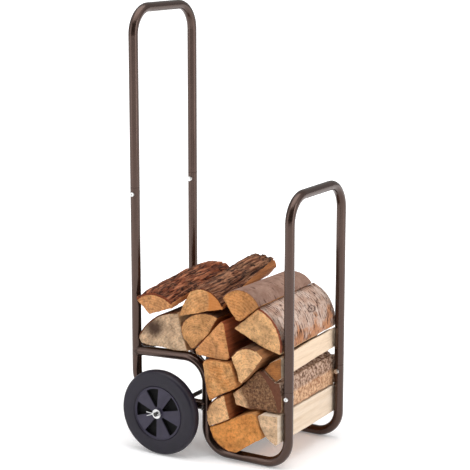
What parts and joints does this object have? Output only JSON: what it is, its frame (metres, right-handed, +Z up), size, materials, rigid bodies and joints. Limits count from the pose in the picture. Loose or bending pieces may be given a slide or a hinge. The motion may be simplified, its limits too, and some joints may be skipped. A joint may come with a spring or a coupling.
{
  "type": "firewood log rack",
  "caption": "Wheeled firewood rack bent from round steel tube, with a tall push handle, a rear shelf, a deep front bay and a removable load of split logs.",
  "frame": {"origin": "on the ground, under the middle of the rack in X and Y", "axes": "+Z up; +X from the push handle towards the front hoop; +Y to the left along the axle"},
  "size_m": [0.418, 0.394, 1],
  "materials": {
    "frame_paint": "satin bronze-brown powder coat",
    "zinc_steel": "bright zinc plate",
    "wheel_plastic": "matt moulded",
    "tyre_rubber": "matt",
    "firewood": "raw split wood and bark"
  },
  "bodies": {
    "frame": {"axle_rod": "zinc_steel", "axle_spacers": "zinc_steel", "axle_welds": "frame_paint", "cross_bar_welds": "frame_paint", "front_hoop_tube": "frame_paint", "handle_tube": "frame_paint", "inner_washers": "zinc_steel", "joint_bolts": "zinc_steel", "joint_nuts": "zinc_steel", "outer_washers": "zinc_steel", "rear_cross_bar": "frame_paint", "rear_leg_left": "frame_paint", "rear_leg_right": "frame_paint", "run_welds": "frame_paint", "shelf_welds": "frame_paint", "side_frame_left": "frame_paint", "side_frame_right": "frame_paint", "split_pin_left": "zinc_steel", "split_pin_right": "zinc_steel"},
    "wheel_right": {"tyre_right": "tyre_rubber", "wheel_rim_right": "wheel_plastic"},
    "wheel_left": {"tyre_left": "tyre_rubber", "wheel_rim_left": "wheel_plastic"},
    "firewood_load": {"log_bay_dark": "firewood", "log_bay_hexagon": "firewood", "log_bay_pale": "firewood", "log_bay_splinter": "firewood", "log_bay_square": "firewood", "log_birch_quarter": "firewood", "log_floor_orange": "firewood", "log_floor_pale": "firewood", "log_grey_round": "firewood", "log_rear_slab": "firewood", "log_shelf_round": "firewood", "log_shelf_stained": "firewood", "log_shelf_wedge": "firewood", "log_top_slab": "firewood"}
  },
  "joints": [
    {"name": "wheel_right_spin", "type": "hinge", "parent": "frame", "child": "wheel_right", "pos_m": [-0.0985, -0.174, 0.0975], "axis": [0, 1, 0], "continuous": true},
    {"name": "wheel_left_spin", "type": "hinge", "parent": "frame", "child": "wheel_left", "pos_m": [-0.0985, 0.174, 0.0975], "axis": [0, 1, 0], "continuous": true},
    {"name": "load_lift", "type": "slide", "parent": "frame", "child": "firewood_load", "axis": [0, 0, 1], "range_m": [0, 0.45]}
  ]
}
